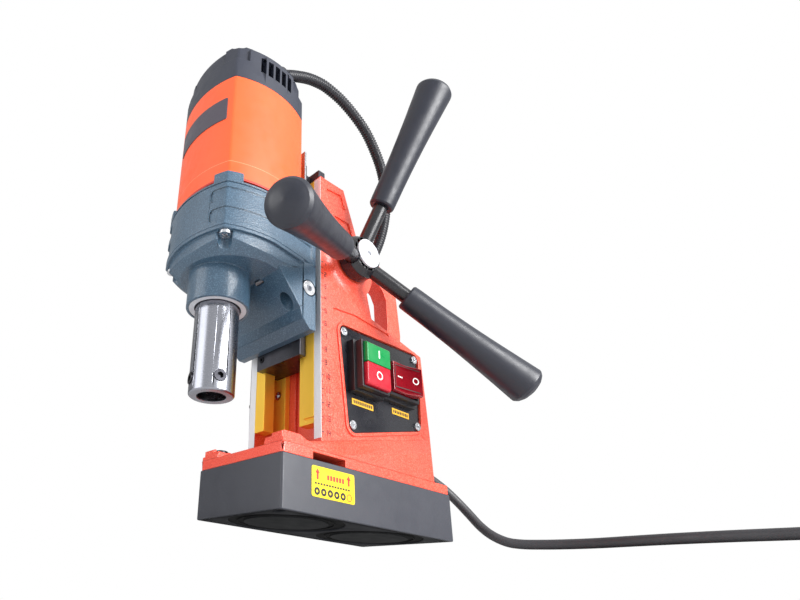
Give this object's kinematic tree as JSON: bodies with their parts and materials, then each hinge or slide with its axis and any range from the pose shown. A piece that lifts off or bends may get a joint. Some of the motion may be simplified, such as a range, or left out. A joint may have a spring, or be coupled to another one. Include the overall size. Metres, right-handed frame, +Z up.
{
  "type": "magnetic drill press",
  "caption": "Portable drill press on an electromagnet base: geared motor head on a rack-fed slide, spoked feed handle, side control panel and lead.",
  "frame": {"origin": "centre of the magnet's face, where the base sits on the work", "axes": "+Z up along the slide, -Y towards the spindle, +X towards the feed handle and the switches"},
  "size_m": [0.398, 0.3049, 0.3585],
  "materials": {
    "magnet_paint": "satin dark grey paint",
    "pole_steel": "satin black",
    "copper": "enamelled wire",
    "potting": "cast resin",
    "casting_paint": "hammertone red-orange paint on cast iron",
    "brass": "machined",
    "bright_screws": "bright zinc",
    "black_screws": "black oxide",
    "plate_paint": "semi-gloss black",
    "switch_black": "moulded",
    "green_plastic": "moulded",
    "red_plastic": "moulded",
    "clear_red": "translucent",
    "board_green": "circuit board",
    "label_yellow": "printed film",
    "cord_rubber": "matt",
    "hose_plastic": "corrugated",
    "slide_steel": "satin grey phosphate",
    "machined_steel": "turned and ground",
    "gearbox_paint": "blue-grey hammertone paint",
    "motor_orange": "satin moulded nylon",
    "cap_plastic": "moulded nylon",
    "badge": "plain film",
    "lamination": "varnished sheet stack",
    "bright_ring": "polished",
    "handle_black": "satin black",
    "grip_plastic": "satin moulded"
  },
  "bodies": {
    "base": {"magnet_housing": "magnet_paint", "magnet_cores": "pole_steel", "magnet_coils": "copper", "magnet_potting": "potting", "magnet_bolts": "black_screws", "column_casting": "casting_paint", "front_gibs": "brass", "rear_gibs": "brass", "gib_screws": "black_screws", "gib_clamp_screws": "bright_screws", "control_plate": "plate_paint", "plate_screws": "bright_screws", "drill_switch_body": "switch_black", "magnet_switch_body": "switch_black", "control_board": "board_green", "board_screws": "bright_screws", "base_label": "label_yellow", "switch_labels": "label_yellow", "shaft_bush": "brass", "cord_gland": "cord_rubber", "power_cord": "cord_rubber", "cord_coil": "cord_rubber", "plug": "cord_rubber", "hose_lower_gland": "hose_plastic"},
    "head": {"slide": "slide_steel", "rack": "machined_steel", "rack_screws": "black_screws", "slide_set_screw": "black_screws", "back_plate": "machined_steel", "gear_housing": "gearbox_paint", "side_screws": "bright_screws", "gearbox_cover": "gearbox_paint", "gearbox_screws": "bright_screws", "motor_housing": "motor_orange", "motor_cap": "cap_plastic", "cap_screws": "black_screws", "motor_badge": "badge", "stator": "lamination", "brushes": "cap_plastic", "motor_bearings": "machined_steel", "spindle_bearings": "machined_steel", "retaining_ring": "bright_ring", "hose_upper_gland": "hose_plastic", "hose": "hose_plastic"},
    "spindle": {"arbor": "machined_steel", "grub_screws": "black_screws", "spindle_gear": "machined_steel"},
    "countershaft": {"intermediate_gear": "machined_steel"},
    "rotor": {"armature": "machined_steel", "fan": "cap_plastic"},
    "feed_handle": {"pinion_shaft": "machined_steel", "hub": "handle_black", "hub_cap": "bright_ring", "spokes": "handle_black", "grips": "grip_plastic"},
    "start_button": {"on_button": "green_plastic"},
    "stop_button": {"off_button": "red_plastic"},
    "rocker": {"magnet_rocker": "clear_red"}
  },
  "joints": [
    {"name": "head_slide", "type": "slide", "parent": "base", "child": "head", "axis": [0, 0, 1], "range_m": [-0.062, 0.06], "deforming": ["hose"]},
    {"name": "feed_turn", "type": "hinge", "parent": "base", "child": "feed_handle", "pos_m": [0, -0.0162, 0.1906], "axis": [1, 0, 0], "range_deg": [-353.5, 365]},
    {"name": "arbor_spin", "type": "hinge", "parent": "head", "child": "spindle", "pos_m": [0, -0.1065, 0.1], "axis": [0, 0, 1], "continuous": true},
    {"name": "countershaft_spin", "type": "hinge", "parent": "head", "child": "countershaft", "pos_m": [0.01621, -0.08246, 0.18], "axis": [0, 0, 1], "continuous": true},
    {"name": "rotor_spin", "type": "hinge", "parent": "head", "child": "rotor", "pos_m": [0, -0.095, 0.25], "axis": [0, 0, 1], "continuous": true},
    {"name": "start_press", "type": "slide", "parent": "base", "child": "start_button", "axis": [-1, 0, 0], "range_m": [0, 0.003], "stiffness_N_per_m": 600, "springref_m": -0.001},
    {"name": "stop_press", "type": "slide", "parent": "base", "child": "stop_button", "axis": [-1, 0, 0], "range_m": [0, 0.003], "stiffness_N_per_m": 600, "springref_m": -0.001},
    {"name": "magnet_rock", "type": "hinge", "parent": "base", "child": "rocker", "pos_m": [0.042, 0.0313, 0.106], "axis": [0, 0, 1], "range_deg": [0, 16]}
  ],
  "couplings": [
    {"joint": "feed_turn", "follows": "head_slide", "rad_per_m": -102.56},
    {"joint": "countershaft_spin", "follows": "arbor_spin", "ratio": -3.8333},
    {"joint": "rotor_spin", "follows": "arbor_spin", "ratio": 11.883}
  ]
}
